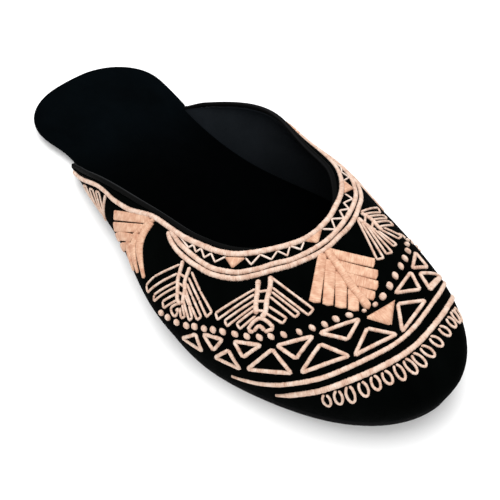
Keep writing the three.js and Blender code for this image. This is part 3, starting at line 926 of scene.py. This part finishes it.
collar = {
    "innerCord": {
        "width": 2.1, "height": 1.0,
        "line": [
            (0.25, 0.4), (0.65, 0.57), (1.2, 0.74), (1.75, 0.84), (2.25, 0.875), (2.63, 0.85), (3.0, 0.815),
            (3.4, 0.82), (3.8, 0.84), (4.13, 0.88), (4.41, 0.92), (4.65, 0.945), (4.92, 0.955), (5.3, 0.954),
            (5.64, 0.954), (6.27, 0.957), (6.66, 0.96), (7.09, 0.957), (7.51, 0.957), (8.03, 0.966), (8.68, 0.98),
            (9.13, 0.986), (10, 0.991), (11, 0.992), (12, 0.992), (13.19, 0.99), (13.87, 0.986), (14.4, 0.983),
            (14.82, 0.977), (15.2, 0.968), (15.6, 0.956), (15.96, 0.945), (16.37, 0.936), (16.71, 0.93),
            (17.2, 0.915), (17.7, 0.895), (18.2, 0.875), (18.6, 0.868), (19.0, 0.885), (19.4, 0.895), (19.9, 0.87),
            (20.5, 0.83), (21, 0.83), (21.35, 0.855), (21.75, 0.87), (22.3, 0.84), (22.8, 0.74), (23.4, 0.57),
            (23.75, 0.4),
        ],
    },
    "bandInner": {
        "width": 1.95, "height": 0.95,
        "line": [
            (5.48, 0.93), (5.63, 0.925), (5.86, 0.9), (6.11, 0.884), (6.41, 0.866), (6.7, 0.85), (7.0, 0.834),
            (7.3, 0.826), (7.6, 0.829), (7.87, 0.837), (8.23, 0.851), (8.61, 0.872), (9.0, 0.889), (9.41, 0.908),
            (9.83, 0.918), (10.31, 0.923), (10.89, 0.933), (11.51, 0.943), (12.12, 0.945), (12.77, 0.938),
            (13.63, 0.925), (14.31, 0.907), (14.84, 0.886), (15.21, 0.866), (15.66, 0.836), (16.02, 0.813),
            (16.38, 0.796), (16.66, 0.784), (16.94, 0.773), (17.22, 0.765), (17.5, 0.763), (17.85, 0.772),
            (18.2, 0.8), (18.5, 0.835), (18.75, 0.87),
        ],
    },
    "bandOuter": {
        "width": 1.95, "height": 0.95,
        "line": [
            (5.42, 0.92), (5.48, 0.9), (5.58, 0.876), (5.76, 0.852), (6.0, 0.832), (6.3, 0.816), (6.57, 0.804),
            (6.87, 0.795), (7.23, 0.784), (7.56, 0.785), (7.88, 0.795), (8.23, 0.813), (8.59, 0.835),
            (8.97, 0.856), (9.36, 0.875), (9.76, 0.887), (10.2, 0.896), (10.75, 0.908), (11.32, 0.918),
            (11.89, 0.923), (12.48, 0.92), (13.17, 0.909), (13.5, 0.899), (14.08, 0.88), (14.72, 0.853),
            (15.39, 0.816), (15.75, 0.784), (16.19, 0.753), (16.53, 0.728), (16.83, 0.71), (17.3, 0.702),
            (17.75, 0.71), (18.15, 0.74), (18.5, 0.79), (18.75, 0.85),
        ],
    },
}
hank = newHank(11)
for cord in collar.values():
    layLine(hank, cord["line"], cord["width"], cord["height"], step=0.45, wander=0.07)
finishHank("collarCords", hank, cordFloss)

# the thin thread that zigzags between the inner cord and the band, and its solid triangles
zigzag = {
    "width": 0.75,
    "height": 0.5,
    "runs": [
        [(5.93, 0.939), (6.31, 0.898), (6.45, 0.938), (6.6, 0.892), (6.75, 0.935), (6.93, 0.878), (7.14, 0.926),
         (7.32, 0.873), (7.66, 0.929)],
        [(8.48, 0.946), (8.68, 0.908), (9.11, 0.968), (9.52, 0.936), (9.88, 0.975), (10.27, 0.945), (10.61, 0.985),
         (11.11, 0.958), (11.5, 0.982)],
        [(12.88, 0.98), (13.32, 0.937), (13.73, 0.975), (14.18, 0.92), (14.46, 0.953), (14.86, 0.897), (15.03, 0.936),
         (15.64, 0.857), (15.68, 0.92)],
        [(16.57, 0.898), (17.0, 0.794), (17.06, 0.874), (17.5, 0.79), (17.72, 0.86), (18.0, 0.8)],
    ],
    "solid": [
        [(7.62, 0.929), (8.5, 0.95), (7.94, 0.861)], [(11.39, 0.991), (12.11, 0.954), (13.05, 0.986)],
        [(15.68, 0.929), (16.57, 0.914), (16.44, 0.802)],
    ],
    "solidHeight": 0.6,
}
hank = newHank(12)
for run in zigzag["runs"]:
    layStraights(hank, run, zigzag["width"], zigzag["height"], sides=8)
finishHank("collarZigzag", hank, paleFloss)
hank = newHank(19)
for corners in zigzag["solid"]:
    layPad(hank, corners, zigzag["solidHeight"])
finishHank("collarTriangles", hank, peachFloss)

# leaves that hang from the band, as outlined ribs on two stems with a small foot below; each rib is a narrow U
leafThread = {
    "width": 0.95, "height": 0.55, "stemHeight": 0.85, "rungWidth": 0.95, "rungHeight": 0.6, "footHeight": 0.605,
}
sideOpenLeaf = {
    "stemWidth": 1.5,
    "stems": [
        [(6.29, 0.79), (6.33, 0.728), (6.35, 0.671), (6.39, 0.617), (6.45, 0.574), (6.5, 0.523), (6.56, 0.481),
         (6.66, 0.477)],
        [(6.57, 0.77), (6.57, 0.702), (6.59, 0.639), (6.66, 0.592), (6.67, 0.543), (6.69, 0.514), (6.67, 0.479)],
    ],
    "rungs": [[(6.33, 0.682), (6.57, 0.682)], [(6.4, 0.612), (6.62, 0.614)], [(6.48, 0.548), (6.67, 0.552)]],
    "ribs": [
        [(6.24, 0.745), (5.65, 0.513), (5.45, 0.361), (5.54, 0.307), (6.29, 0.675)],
        [(6.37, 0.622), (5.82, 0.37), (5.84, 0.305), (6.4, 0.578)],
        [(6.48, 0.536), (6.14, 0.388), (6.2, 0.336), (6.53, 0.488)],
        [(6.68, 0.74), (7.08, 0.638), (7.49, 0.536), (7.38, 0.487), (7.11, 0.574), (6.65, 0.69)],
        [(6.65, 0.642), (6.9, 0.577), (7.24, 0.471), (7.16, 0.432), (6.94, 0.503), (6.68, 0.594)],
        [(6.7, 0.559), (6.88, 0.502), (7.02, 0.427), (6.96, 0.392), (6.7, 0.514)],
        [(6.69, 0.48), (6.83, 0.401), (6.74, 0.366), (6.66, 0.44)],
    ],
    "foot": [[(6.6, 0.468), (6.43, 0.374), (6.57, 0.35), (6.61, 0.423), (6.55, 0.39)]],
    "footWidth": 0.95,
}
throatOpenLeaf = {
    "stemWidth": 1.9,
    "stems": [
        [(8.89, 0.825), (8.8, 0.741), (8.73, 0.671), (8.73, 0.62)],
        [(9.34, 0.85), (9.24, 0.781), (9.07, 0.705), (8.99, 0.644), (8.84, 0.601)],
    ],
    "rungs": [[(8.8, 0.75), (9.19, 0.768)], [(8.75, 0.695), (9.08, 0.708)], [(8.73, 0.643), (8.99, 0.65)]],
    "ribs": [
        [(8.75, 0.766), (7.59, 0.539), (7.66, 0.501), (8.72, 0.735)],
        [(8.71, 0.7), (7.84, 0.517), (7.91, 0.487), (8.7, 0.67)],
        [(8.69, 0.645), (8.16, 0.528), (8.25, 0.503), (8.69, 0.608)],
        [(9.38, 0.838), (10.46, 0.688), (10.22, 0.659), (9.33, 0.785)],
        [(9.28, 0.762), (9.96, 0.664), (9.81, 0.642), (9.2, 0.734)],
        [(9.12, 0.68), (9.56, 0.632), (9.42, 0.6), (9.0, 0.64)],
    ],
    "foot": [
        [(8.46, 0.512), (8.6, 0.565), (8.82, 0.603), (9.02, 0.594), (9.17, 0.565)],
        [(8.61, 0.514), (8.68, 0.535), (8.76, 0.555), (8.85, 0.553), (8.91, 0.534)],
        [(8.46, 0.51), (8.62, 0.511)], [(9.17, 0.562), (8.9, 0.53)],
    ],
    "footWidth": 1.35,
}
medialOpenLeaf = {
    "stemWidth": 1.7,
    "stems": [
        [(15.0, 0.817), (15.01, 0.777), (14.92, 0.736), (14.72, 0.71), (14.65, 0.685)],
        [(14.63, 0.844), (14.51, 0.806), (14.45, 0.773), (14.43, 0.735)],
    ],
    "rungs": [[(14.55, 0.8), (14.98, 0.785)], [(14.47, 0.76), (14.88, 0.738)]],
    "ribs": [
        [(15.1, 0.81), (16.13, 0.587), (15.81, 0.602), (15.05, 0.79)],
        [(15.04, 0.76), (15.79, 0.564), (15.64, 0.565), (14.98, 0.735)],
        [(14.9, 0.72), (15.56, 0.553), (15.43, 0.534), (14.8, 0.695)],
        [(14.52, 0.845), (13.09, 0.736), (13.3, 0.707), (14.46, 0.82)],
        [(14.44, 0.79), (13.55, 0.694), (13.77, 0.662), (14.4, 0.765)],
        [(14.46, 0.745), (14.11, 0.647), (14.29, 0.619), (14.5, 0.72)],
        [(14.64, 0.695), (14.67, 0.582), (14.97, 0.525), (14.85, 0.665)],
    ],
    "foot": [[(14.97, 0.56), (15.03, 0.525), (15.02, 0.495), (14.95, 0.505)]],
    "footWidth": 0.7,
}


def layOpenLeaf(hank, leaf, turn=list):
    for stem in leaf["stems"]:
        layLine(hank, turn(stem), leaf["stemWidth"], leafThread["stemHeight"])
    for rung in leaf["rungs"]:
        layLine(hank, turn(rung), leafThread["rungWidth"], leafThread["rungHeight"], step=0.4)
    for rib in leaf["ribs"]:
        layStraights(hank, turn(rib), leafThread["width"], leafThread["height"], sides=8)
    for line in leaf["foot"]:
        layLine(hank, turn(line), leaf["footWidth"], leafThread["footHeight"])


hank = newHank(13)
for leaf in (sideOpenLeaf, throatOpenLeaf, medialOpenLeaf):
    layOpenLeaf(hank, leaf)
layOpenLeaf(hank, sideOpenLeaf, lambda corners: mirrored(corners, lower=0.1))

# the rear leaf beside each back corner: a front cord with ribs that run up and back from it
rearLeaf = {
    "front": [(2.65, 0.8), (2.65, 0.673), (2.66, 0.489), (2.68, 0.3), (2.68, 0.2)],
    "frontWidth": 1.3,
    "ribs": [
        [(2.6, 0.46), (2.3, 0.74), (2.12, 0.71), (2.55, 0.34)],
        [(2.52, 0.28), (1.94, 0.68), (1.72, 0.62), (2.4, 0.2)],
        [(2.2, 0.2), (1.46, 0.57), (1.24, 0.49), (2.0, 0.12)],
    ],
    "pad": [(2.66, 0.2), (2.66, 0.56), (2.36, 0.24)],
    "padHeight": 0.5,
}
for turn in (list, mirrored):
    layLine(hank, turn(rearLeaf["front"]), rearLeaf["frontWidth"], leafThread["stemHeight"])
    for rib in rearLeaf["ribs"]:
        layStraights(hank, turn(rib), leafThread["width"], leafThread["height"], sides=8)
    layPad(hank, turn(rearLeaf["pad"]), rearLeaf["padHeight"])
finishHank("leafOutlines", hank, cordFloss)

# solid leaves of flat satin bars: the large one over the toe and one on each side
satin = {
    "height": 0.75,
    "wander": 0.02,
    "endRound": 0.15,
    "square": 0.5,
    "sink": 0.3,
    "underRib": 1.6,  # a straight bar starts this far under the rib
    "rootShare": 0.78,
    "pointFrom": 0.35,  # a pointed one narrows from this share of its length, and loses this share of its width
    "pointLoss": 0.65,
}
toeLeaf = {
    "ribWidth": 2.9,
    "ribHeight": 1.6,
    "rib": [(12.12, 0.918), (12.07, 0.895), (11.97, 0.843), (11.89, 0.791), (11.84, 0.744), (11.83, 0.701),
            (11.8, 0.66)],
    # each bar from the rib to its tip, its width, and the share of the width at the rib
    "bars": [
        ([(11.82, 0.901), (10.58, 0.719)], 3.95, 0.82), ([(11.9, 0.866), (10.96, 0.706)], 3.75, 1.1),
        ([(11.87, 0.811), (11.26, 0.691)], 3.85, 1.2), ([(11.78, 0.735), (11.49, 0.671)], 3.7, 1.1),
        ([(12.16, 0.895), (12.9, 0.741)], 3.65, 1.05), ([(12.05, 0.84), (12.6, 0.717)], 3.75, 1.15),
        ([(11.96, 0.786), (12.34, 0.699)], 3.7, 1.25), ([(11.92, 0.725), (12.08, 0.684)], 3.5, 1.2),
    ],
}
sideLeaf = {
    "ribWidth": 1.9,
    "ribHeight": 0.95,
    "rib": [(4.84, 0.945), (4.64, 0.834), (4.49, 0.704), (4.32, 0.544), (4.2, 0.42), (4.1, 0.3)],
    "bars": [
        ([(4.7, 0.905), (4.02, 0.768), (3.28, 0.586)], 4.1, 0.85),
        ([(4.58, 0.765), (4.01, 0.607), (3.36, 0.399)], 4.1, 0.85),
        ([(4.36, 0.57), (3.8, 0.399), (3.5, 0.26)], 3.9, 0.85), ([(4.23, 0.41), (3.95, 0.3), (3.7, 0.14)], 3.3, 0.85),
    ],
    "points": [
        ([(4.76, 0.905), (4.68, 0.72), (4.72, 0.6), (4.92, 0.5), (5.3, 0.395)], 4.3),
        ([(4.52, 0.68), (4.5, 0.52), (4.68, 0.42), (4.98, 0.345)], 3.8),
        ([(4.34, 0.51), (4.34, 0.42), (4.5, 0.34), (4.72, 0.27)], 3.5),
    ],
}


def layBar(hank, corners, width, rootShare, pointed=False):
    def taper(part):
        root = rootShare + (1 - rootShare) * part
        point = smoothStep((part - satin["pointFrom"]) / (1 - satin["pointFrom"]))
        return root * (1 - satin["pointLoss"] * point) if pointed else root

    if len(corners) == 2:
        (rib, up), (tipRib, tipUp) = corners
        under = satin["underRib"] / np.linalg.norm(wallPoint(rib, up) - wallPoint(tipRib, tipUp))
        corners = [(rib + (rib - tipRib) * under, up + (up - tipUp) * under), corners[1]]
    shape = {part: satin[part] for part in ("wander", "endRound", "square", "sink")}
    layLine(hank, corners, width, satin["height"], step=0.4, sides=16, taper=taper, **shape)


hank = newHank(14)
for bar, width, rootShare in toeLeaf["bars"]:
    layBar(hank, bar, width, rootShare)
layLine(hank, toeLeaf["rib"], toeLeaf["ribWidth"], toeLeaf["ribHeight"], step=0.6, wander=0.05, sides=14, square=0.5)
for turn in (list, mirrored):
    for bar, width, rootShare in sideLeaf["bars"]:
        layBar(hank, turn(bar), width, rootShare)
    for bar, width in sideLeaf["points"]:
        layBar(hank, turn(bar), width, satin["rootShare"], pointed=True)
    layLine(hank, turn(sideLeaf["rib"]), sideLeaf["ribWidth"], sideLeaf["ribHeight"], step=0.6)
finishHank("leafSatin", hank, peachFloss)

# a row of dots under the leaves, each with its width round the shoe and its height up it, in millimetres
dots = {
    "places": [
        (6.15, 0.275, 2.3, 2.1), (6.37, 0.29, 2.3, 2.1), (6.64, 0.31, 2.3, 2.1), (6.91, 0.342, 2.3, 2.1),
        (7.12, 0.376, 2.3, 2.1), (7.36, 0.4, 2.3, 2.1), (7.58, 0.423, 2.3, 2.1), (7.82, 0.442, 2.4, 2.1),
        (8.13, 0.461, 2.4, 2.1), (8.44, 0.474, 2.4, 2.1), (8.77, 0.491, 2.4, 2.1), (9.07, 0.514, 2.4, 2.1),
        (9.4, 0.54, 2.3, 2.2), (9.81, 0.568, 2.2, 2.3), (10.2, 0.596, 2.2, 2.3), (10.6, 0.617, 2.2, 2.3),
        (10.98, 0.643, 2.3, 2.2), (11.34, 0.656, 2.5, 1.9), (11.69, 0.66, 1.5, 1.3), (11.95, 0.661, 2.0, 1.7),
        (12.19, 0.664, 2.9, 2.4), (12.52, 0.662, 2.6, 2.6), (12.88, 0.65, 2.4, 2.5), (13.33, 0.625, 2.3, 2.4),
        (13.77, 0.596, 2.2, 2.4), (14.23, 0.557, 2.0, 2.3), (14.58, 0.533, 1.3, 2.2), (14.93, 0.485, 1.0, 1.5),
        (15.06, 0.42, 1.2, 1.0), (15.17, 0.35, 1.2, 1.0), (15.32, 0.26, 1.3, 1.2), (15.56, 0.215, 1.8, 1.8),
        (15.87, 0.205, 2.3, 2.1), (16.2, 0.205, 2.3, 2.1), (16.52, 0.21, 2.3, 2.1), (16.82, 0.225, 2.3, 2.1),
        (17.1, 0.24, 2.3, 2.1), (17.36, 0.255, 2.3, 2.1), (17.63, 0.265, 2.3, 2.1), (17.85, 0.27, 2.3, 2.1),
    ],
    "height": 1.4,
    "fullTall": 2.0,  # lower ones stand out less
    "sides": 16,
    "square": 0.8,
    # each ring of a knot: its share of the size, and its share of the height
    "rings": [(0.94, -0.3), (1.0, 0.2), (0.98, 0.44), (0.88, 0.68), (0.68, 0.87), (0.42, 0.97), (0.15, 1.0)],
}


def layDot(hank, rib, up, wide, tall):
    # a small rounded knot of stitches
    spot, along, rise, normal = (v[0] for v in wallFrame(np.array([rib]), np.array([up])))
    sides, rings = dots["sides"], dots["rings"]
    height = dots["height"] * min(1, tall / dots["fullTall"])
    skew = hank["wander"].uniform(-0.3, 0.3)
    x, y = squaredRing(sides, dots["square"])
    x, y = (part * size / 2 * hank["wander"].uniform(0.94, 1.06) for part, size in ((x, wide), (y, tall)))
    x, y = x * math.cos(skew) - y * math.sin(skew), x * math.sin(skew) + y * math.cos(skew)
    points, uv = [], []
    for size, z in rings:
        lift = z * height if z > 0 else z
        points.append(spot + along * (x * size)[:, None] + rise * (y * size)[:, None] + normal * lift)
        uv.append(np.stack([x * size + hank["total"] * mapShift, y * size], -1))
    faces = ringFaces(len(rings), sides) + endFaces(len(rings), sides)
    addTo(hank, np.concatenate(points), faces, np.concatenate(uv))


hank = newHank(15)
for dot in dots["places"]:
    layDot(hank, *dot)
finishHank("dotRow", hank, cordFloss)

# two staggered rows of triangles under the dots
triangles = {
    "width": 1.35,
    "height": 0.7,
    "open": [
        [(6.77, 0.188), (7.15, 0.317), (7.3, 0.203)], [(7.34, 0.355), (7.81, 0.385), (7.59, 0.27)],
        [(7.61, 0.215), (7.95, 0.33), (8.2, 0.225)], [(8.1, 0.41), (8.77, 0.445), (8.3, 0.325)],
        [(8.38, 0.25), (9.05, 0.44), (9.4, 0.325)], [(9.18, 0.47), (10.14, 0.555), (9.57, 0.42)],
        [(9.62, 0.345), (10.27, 0.52), (10.86, 0.47)], [(10.37, 0.575), (11.49, 0.635), (11.01, 0.55)],
        [(10.99, 0.475), (11.51, 0.59), (11.85, 0.525)], [(12.28, 0.605), (12.74, 0.502), (11.95, 0.522)],
        [(12.46, 0.632), (13.33, 0.574), (12.93, 0.531)], [(13.5, 0.522), (14.2, 0.3), (13.12, 0.472)],
        [(13.55, 0.56), (14.45, 0.485), (14.05, 0.437)], [(14.75, 0.18), (15.3, 0.17), (15.12, 0.06)],
        [(15.4, 0.05), (15.64, 0.165), (16.0, 0.05)], [(15.95, 0.16), (16.6, 0.17), (16.32, 0.06)],
        [(16.6, 0.05), (16.9, 0.175), (17.2, 0.05)],
    ],
    "thick": [(14.05, 0.335), (13.2, 0.475)],  # one limb is worked over twice
    "thickWidth": 2.0,
    "thickHeight": 0.77,
    "solid": [(11.6, 0.635), (12.32, 0.622), (11.89, 0.562)],
    "solidHeight": 0.75,
}
hank = newHank(16)
for corners in triangles["open"]:
    layStraights(hank, corners, triangles["width"], triangles["height"], closed=True)
layLine(hank, triangles["thick"], triangles["thickWidth"], triangles["thickHeight"], step=0.6)
finishHank("triangleRow", hank, cordFloss)
hank = newHank(20)
layPad(hank, triangles["solid"], triangles["solidHeight"])
finishHank("solidTriangle", hank, peachFloss)

# two arcs round the toe, and the row of loops that hangs from the lower one
arcs = {
    "upper": {
        "width": 1.6, "height": 0.7,
        "line": [
            (7.93, 0.114), (8.14, 0.126), (8.62, 0.164), (9.09, 0.217), (9.53, 0.275), (10.0, 0.331), (10.52, 0.389),
            (11.02, 0.44), (11.45, 0.478), (11.64, 0.489), (11.84, 0.498), (12.06, 0.503), (12.3, 0.5),
            (12.57, 0.485), (12.91, 0.452), (13.2, 0.416), (13.41, 0.389), (13.75, 0.34), (14.05, 0.28), (14.4, 0.2),
            (14.8, 0.12), (15.3, 0.04),
        ],
    },
    "lower": {
        "width": 1.95, "height": 0.75,
        "line": [
            (8.92, 0.11), (9.1, 0.131), (9.48, 0.19), (9.92, 0.25), (10.41, 0.313), (10.9, 0.367), (11.31, 0.409),
            (11.49, 0.424), (11.66, 0.435), (11.84, 0.443), (12.04, 0.447), (12.28, 0.443), (12.52, 0.426),
            (12.86, 0.386), (13.12, 0.35), (13.3, 0.321), (13.5, 0.288), (13.7, 0.25), (13.86, 0.205), (14.0, 0.15),
            (14.2, 0.09), (14.4, 0.04),
        ],
    },
}
arcEnds = {"width": 0.35, "over": 0.07}  # both are shares, and an arc thins out to that width


def thinEnds(part):
    return arcEnds["width"] + (1 - arcEnds["width"]) * smoothStep(np.minimum(part, 1 - part) / arcEnds["over"])


hank = newHank(17)
for arc in arcs.values():
    layLine(hank, arc["line"], arc["width"], arc["height"], step=0.45, taper=thinEnds)
finishHank("toeArcs", hank, cordFloss)

toeLoopRow = {
    "wide": 2.6,
    "thread": 0.95,
    "height": 0.5,
    "gap": 12,  # degrees left open on each side of the arc
    "steps": 25,
    "middle": 0.97,  # a loop runs from a little under the arc to a little past its tip
    "reach": 1.05,
    # rib and up at the arc, then at the tip
    "loops": [
        (10.01, 0.226, 10.02, 0.149), (10.3, 0.267, 10.28, 0.181), (10.57, 0.302, 10.57, 0.205),
        (10.86, 0.332, 10.88, 0.254), (11.12, 0.365, 11.12, 0.293), (11.32, 0.384, 11.34, 0.32),
        (11.53, 0.404, 11.53, 0.326), (11.69, 0.413, 11.72, 0.335), (11.83, 0.419, 11.87, 0.344),
        (11.98, 0.424, 12.03, 0.356), (12.18, 0.424, 12.23, 0.357), (12.43, 0.408, 12.47, 0.341),
        (12.71, 0.375, 12.7, 0.311), (12.96, 0.339, 12.9, 0.268), (13.15, 0.303, 13.07, 0.22),
    ],
}
hank = newHank(18)
turns = np.radians(np.linspace(toeLoopRow["gap"], 360 - toeLoopRow["gap"], toeLoopRow["steps"]))[:, None]
for rootRib, rootUp, tipRib, tipUp in toeLoopRow["loops"]:
    root, tip = wallPoint([rootRib, tipRib], [rootUp, tipUp])
    normal = wallFrame((rootRib + tipRib) / 2, (rootUp + tipUp) / 2)[3]
    side = unit(np.cross(normal, tip - root)) * toeLoopRow["wide"] / 2
    down = (toeLoopRow["middle"] - toeLoopRow["reach"] * np.cos(turns)) / 2
    part = (1 - np.cos(turns)) / 2
    goals = root + (tip - root) * down + side * np.sin(turns)
    chart = onWall(goals, np.array([rootRib, rootUp]) * (1 - part) + np.array([tipRib, tipUp]) * part)
    layCord(hank, chart, toeLoopRow["thread"], toeLoopRow["height"], sides=8)
finishHank("toeLoops", hank, cordFloss)
print("embroidery ready")

# floor, lights and camera
stageLooks = {
    "floorSize": 3.0,
    "floorDrop": 0.0002,
    "floorColour": (0.92, 0.92, 0.92),
    "floorTones": [(0.3, (0.91, 0.91, 0.91)), (0.7, (0.93, 0.93, 0.93))],
    "rough": 0.9,
    "shine": 0.1,
    "skyStrength": 0.72,
    "lights": [
        {"name": "topBox", "place": (-0.2, 0.15, 1.1), "size": 1.1, "power": 14.0},
        {"name": "frontBox", "place": (0.7, -0.5, 0.8), "size": 0.6, "power": 4.0},
    ],
}
half = stageLooks["floorSize"] / 2
mesh = bpy.data.meshes.new("paleFloor")
mesh.from_pydata([(-half, -half, 0), (half, -half, 0), (half, half, 0), (-half, half, 0)], [], [(0, 1, 2, 3)])
floorPaper = newFinish("floorPaper", stageLooks, stageLooks["floorColour"])
tones = rampOf(floorPaper.node_tree, noiseAt(floorPaper.node_tree, 3.0, detail=2), stageLooks["floorTones"])
mesh.materials.append(dress(floorPaper, colour=tones))
paleFloor = bpy.data.objects.new("paleFloor", mesh)
paleFloor.location.z = -stageLooks["floorDrop"]
scene.collection.objects.link(paleFloor)

sky = bpy.data.worlds.new("softSky")
sky.use_nodes = True
sky.node_tree.nodes["Background"].inputs["Color"].default_value = (1, 1, 1, 1)
sky.node_tree.nodes["Background"].inputs["Strength"].default_value = stageLooks["skyStrength"]
scene.world = sky


def stand(name, data, right, upright, back, place):
    made = bpy.data.objects.new(name, data)
    made.matrix_world = Matrix([[right[i], upright[i], back[i], place[i]] for i in range(3)] + [[0, 0, 0, 1]])
    scene.collection.objects.link(made)
    return made


for box in stageLooks["lights"]:
    light = bpy.data.lights.new(box["name"], "AREA")
    light.size = box["size"]
    light.energy = box["power"]
    back = unit(np.array(box["place"]))
    side = unit(np.cross((0, 0, 1), back))
    stand(box["name"], light, side, np.cross(back, side), back, box["place"])

view = {
    "place": (309.0, -93.0, 221.5),
    "right": (0.6490, 0.7604, -0.0264),
    "upright": (-0.5104, 0.4608, 0.7260),
    "lens": 48.0,
    "sensor": 36.0,
    "shiftX": -0.1005,
    "shiftY": -0.1837,
    "nearest": 0.01,
}
lens = bpy.data.cameras.new("studioCamera")
lens.sensor_width = view["sensor"]
lens.lens = view["lens"]
lens.shift_x = view["shiftX"]
lens.shift_y = view["shiftY"]
lens.clip_start = view["nearest"]
right = unit(np.array(view["right"]))
upright = np.array(view["upright"])
upright = unit(upright - right * (right @ upright))
camera = stand("studioCamera", lens, right, upright, np.cross(right, upright), toFrame(view["place"]))
bpy.context.scene.camera = camera
scene.view_settings.view_transform = "Standard"
print("stage, lights and camera ready")
